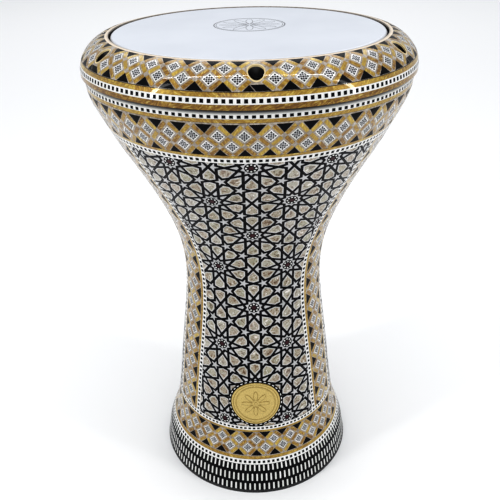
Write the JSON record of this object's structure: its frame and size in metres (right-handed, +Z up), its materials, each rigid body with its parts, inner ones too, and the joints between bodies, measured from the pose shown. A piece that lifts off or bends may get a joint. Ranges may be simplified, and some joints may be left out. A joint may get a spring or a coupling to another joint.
{
  "type": "goblet drum",
  "caption": "Goblet drum with a cast shell under mosaic inlay, a white film head, a clamping ring with recessed screws and a rubber-edged foot.",
  "frame": {"origin": "centre of the foot's resting plane, on the drum's axis", "axes": "+Z up the drum's axis, out of the head; -Y is the front, with the medallion; +X is the viewer's right"},
  "size_m": [0.2728, 0.2728, 0.4289],
  "materials": {
    "cast_shell": "as-cast aluminium, satin inside",
    "cast_ring": "machined aluminium, satin",
    "rubber_edge": "black rubber",
    "black_edging": "black edging under clear lacquer",
    "stripe_inlay": "pale and black inlay under clear lacquer",
    "border_inlay": "gold, pearl and black inlay under clear lacquer",
    "pearl_inlay": "mother-of-pearl and black inlay under clear lacquer",
    "pale_inlay": "cream inlay under clear lacquer",
    "medallion_brass": "polished brass, domed edge",
    "head_film": "smooth white drum film, satin",
    "hoop_aluminium": "rolled aluminium",
    "resin": "cast resin",
    "washer_steel": "plain steel",
    "black_screw": "black oxide steel, satin"
  },
  "bodies": {
    "goblet": {"shell": "cast_shell", "foot_trim": "rubber_edge", "foot_stripe_band": "stripe_inlay", "lower_border_band": "border_inlay", "upper_border_band": "border_inlay", "border_strip_1": "border_inlay", "border_strip_2": "border_inlay", "border_strip_3": "border_inlay", "star_panel_1": "pearl_inlay", "star_panel_2": "pearl_inlay", "star_panel_3": "pearl_inlay", "rim_edging": "black_edging", "medallion_border": "stripe_inlay", "medallion": "medallion_brass"},
    "drumhead": {"head_membrane": "head_film", "head_hoop": "hoop_aluminium", "hoop_resin": "resin"},
    "tension_ring": {"tension_ring": "cast_ring", "ring_edge_band": "border_inlay", "ring_diamond_band": "border_inlay", "ring_inner_trim": "pale_inlay", "recess_rims": "pale_inlay", "bolt_washers": "washer_steel"},
    "tuning_bolt_1": {"tuning_bolt_1": "black_screw"},
    "tuning_bolt_2": {"tuning_bolt_2": "black_screw"},
    "tuning_bolt_3": {"tuning_bolt_3": "black_screw"},
    "tuning_bolt_4": {"tuning_bolt_4": "black_screw"},
    "tuning_bolt_5": {"tuning_bolt_5": "black_screw"},
    "tuning_bolt_6": {"tuning_bolt_6": "black_screw"}
  },
  "joints": [
    {"name": "ring_lift", "type": "slide", "parent": "goblet", "child": "tension_ring", "axis": [0, 0, 1], "range_m": [0, 0.012]},
    {"name": "head_lift", "type": "slide", "parent": "goblet", "child": "drumhead", "axis": [0, 0, 1], "range_m": [0, 0.012]},
    {"name": "bolt_turn_1", "type": "hinge", "parent": "tension_ring", "child": "tuning_bolt_1", "pos_m": [0.00434, -0.12442, 0.4134], "axis": [0, 0, 1], "range_deg": [0, 4321]},
    {"name": "bolt_turn_2", "type": "hinge", "parent": "tension_ring", "child": "tuning_bolt_2", "pos_m": [0.10993, -0.05845, 0.4134], "axis": [0, 0, 1], "range_deg": [0, 4321]},
    {"name": "bolt_turn_3", "type": "hinge", "parent": "tension_ring", "child": "tuning_bolt_3", "pos_m": [0.10558, 0.06598, 0.4134], "axis": [0, 0, 1], "range_deg": [0, 4321]},
    {"name": "bolt_turn_4", "type": "hinge", "parent": "tension_ring", "child": "tuning_bolt_4", "pos_m": [-0.00434, 0.12442, 0.4134], "axis": [0, 0, 1], "range_deg": [0, 4321]},
    {"name": "bolt_turn_5", "type": "hinge", "parent": "tension_ring", "child": "tuning_bolt_5", "pos_m": [-0.10993, 0.05845, 0.4134], "axis": [0, 0, 1], "range_deg": [0, 4321]},
    {"name": "bolt_turn_6", "type": "hinge", "parent": "tension_ring", "child": "tuning_bolt_6", "pos_m": [-0.10558, -0.06598, 0.4134], "axis": [0, 0, 1], "range_deg": [0, 4321]}
  ],
  "couplings": [
    {"joint": "head_lift", "follows": "ring_lift", "ratio": 1},
    {"joint": "bolt_turn_1", "follows": "ring_lift", "rad_per_m": 6283.2},
    {"joint": "bolt_turn_2", "follows": "ring_lift", "rad_per_m": 6283.2},
    {"joint": "bolt_turn_3", "follows": "ring_lift", "rad_per_m": 6283.2},
    {"joint": "bolt_turn_4", "follows": "ring_lift", "rad_per_m": 6283.2},
    {"joint": "bolt_turn_5", "follows": "ring_lift", "rad_per_m": 6283.2},
    {"joint": "bolt_turn_6", "follows": "ring_lift", "rad_per_m": 6283.2}
  ]
}
